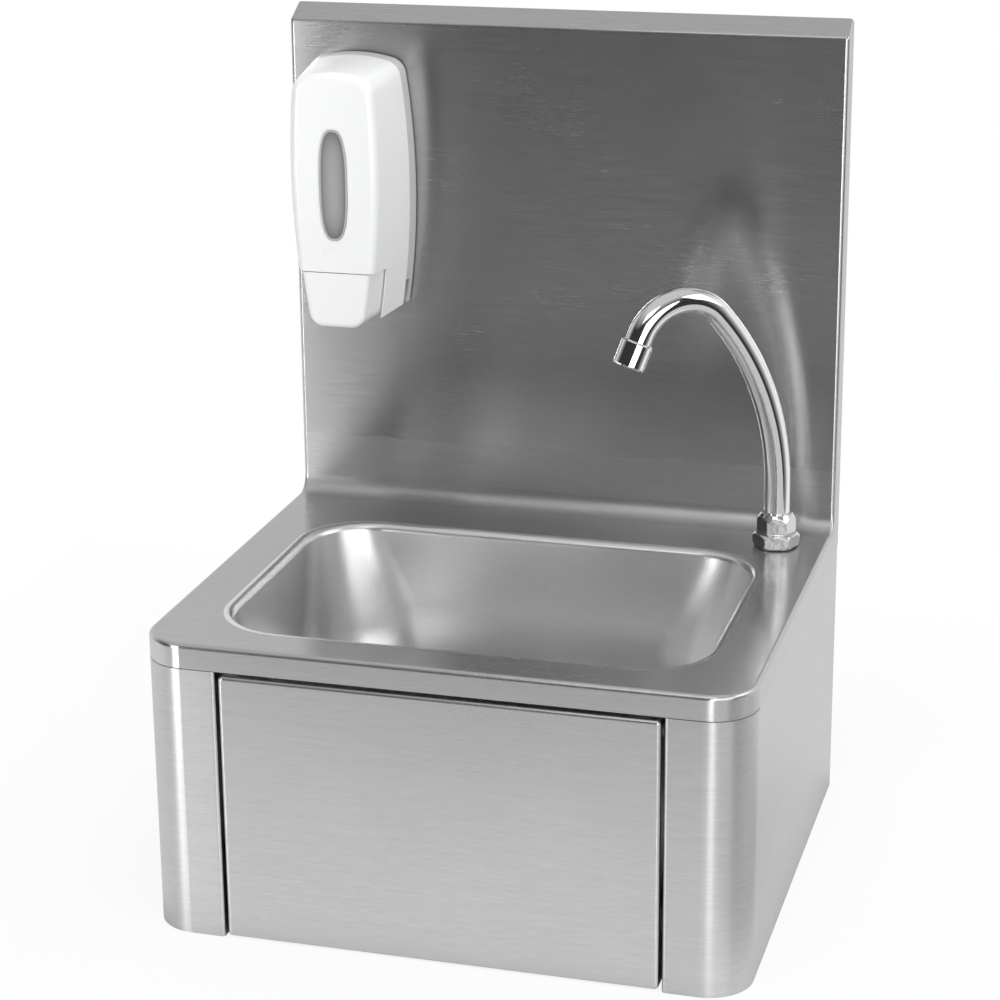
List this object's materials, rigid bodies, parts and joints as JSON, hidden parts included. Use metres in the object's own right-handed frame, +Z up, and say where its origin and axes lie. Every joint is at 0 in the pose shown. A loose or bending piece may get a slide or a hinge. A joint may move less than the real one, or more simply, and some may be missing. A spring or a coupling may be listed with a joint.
{
  "type": "knee-operated hand-wash sink",
  "caption": "Wall-hung stainless hand-wash sink with upstand, swan-neck swivel spout, soap dispenser and a hinged front panel that opens the tap when a knee pushes it.",
  "frame": {"origin": "centre of the four wall holes, on the wall plane, at half the casing's height", "axes": "+X to the right as seen from the front, +Y into the wall, +Z up; the knee panel faces -Y"},
  "size_m": [0.4, 0.34, 0.565],
  "materials": {
    "brushed_sheet": "brushed",
    "satin_bowl": "satin",
    "plain_steel": "turned",
    "chrome_plate": "polished",
    "bright_brass": "machined",
    "black_rubber": "matte",
    "braided_hose": "braided steel over rubber",
    "grey_plastic": "moulded",
    "nylon": "moulded",
    "white_plastic": "gloss",
    "bottle_plastic": "clear",
    "smoky_window": "smoked"
  },
  "bodies": {
    "casing": {"deck_backsplash": "brushed_sheet", "bowl": "satin_bowl", "casing_right": "brushed_sheet", "casing_left": "brushed_sheet", "valve_rail": "brushed_sheet", "pivot_pins": "plain_steel", "valve_body": "bright_brass", "valve_locknut": "bright_brass", "union_nut": "bright_brass", "mixing_tee": "bright_brass", "cold_inlet": "bright_brass", "hot_inlet": "bright_brass", "feed_hose": "braided_hose", "hose_nut_valve": "chrome_plate", "hose_nut_spout": "chrome_plate", "spout_seal": "black_rubber", "spout_base": "chrome_plate", "deck_washer": "black_rubber", "deck_nut": "bright_brass", "collar_nut": "chrome_plate", "spout_o_ring": "black_rubber", "waste_gasket": "black_rubber", "waste_strainer": "plain_steel", "waste_screw": "plain_steel", "waste_seal": "black_rubber", "waste_body": "grey_plastic", "dispenser_base": "white_plastic", "cover_pins": "plain_steel", "soap_bottle": "bottle_plastic", "bottle_cap": "grey_plastic", "pump_body": "grey_plastic", "dispenser_screws": "plain_steel"},
    "knee_panel": {"knee_panel": "brushed_sheet", "pivot_bushes": "nylon", "panel_pad": "black_rubber"},
    "plunger": {"valve_plunger": "plain_steel", "valve_spring": "plain_steel"},
    "spout": {"spout_tube": "chrome_plate", "aerator_shell": "chrome_plate", "aerator_insert": "grey_plastic"},
    "soap_cover": {"dispenser_cover": "white_plastic", "dispenser_window": "smoky_window"},
    "soap_lever": {"dispenser_lever": "white_plastic", "lever_pins": "plain_steel"},
    "soap_piston": {"pump_piston": "nylon", "pump_spring": "plain_steel"}
  },
  "joints": [
    {"name": "panel_hinge", "type": "hinge", "parent": "casing", "child": "knee_panel", "pos_m": [0, -0.329, 0.073], "axis": [1, 0, 0], "range_deg": [0, 6], "stiffness_Nm_per_rad": 6, "springref_deg": -5.73},
    {"name": "plunger_slide", "type": "slide", "parent": "casing", "child": "plunger", "axis": [0, 1, 0], "range_m": [0, 0.0145], "deforming": ["valve_spring"]},
    {"name": "spout_swivel", "type": "hinge", "parent": "casing", "child": "spout", "pos_m": [0.165, -0.059, 0.11], "axis": [0, 0, 1], "range_deg": [-45, 145]},
    {"name": "cover_hinge", "type": "hinge", "parent": "casing", "child": "soap_cover", "pos_m": [-0.149, -0.032, 0.259], "axis": [1, 0, 0], "range_deg": [0, 60]},
    {"name": "lever_hinge", "type": "hinge", "parent": "soap_cover", "child": "soap_lever", "pos_m": [-0.149, -0.062, 0.29], "axis": [1, 0, 0], "range_deg": [0, 10], "stiffness_Nm_per_rad": 0.6, "springref_deg": -5.73},
    {"name": "piston_slide", "type": "slide", "parent": "casing", "child": "soap_piston", "axis": [0, 1, 0], "range_m": [0, 0.0048], "deforming": ["pump_spring"]}
  ],
  "couplings": [
    {"joint": "plunger_slide", "follows": "panel_hinge", "m_per_rad": 0.135},
    {"joint": "piston_slide", "follows": "lever_hinge", "m_per_rad": 0.0262}
  ]
}
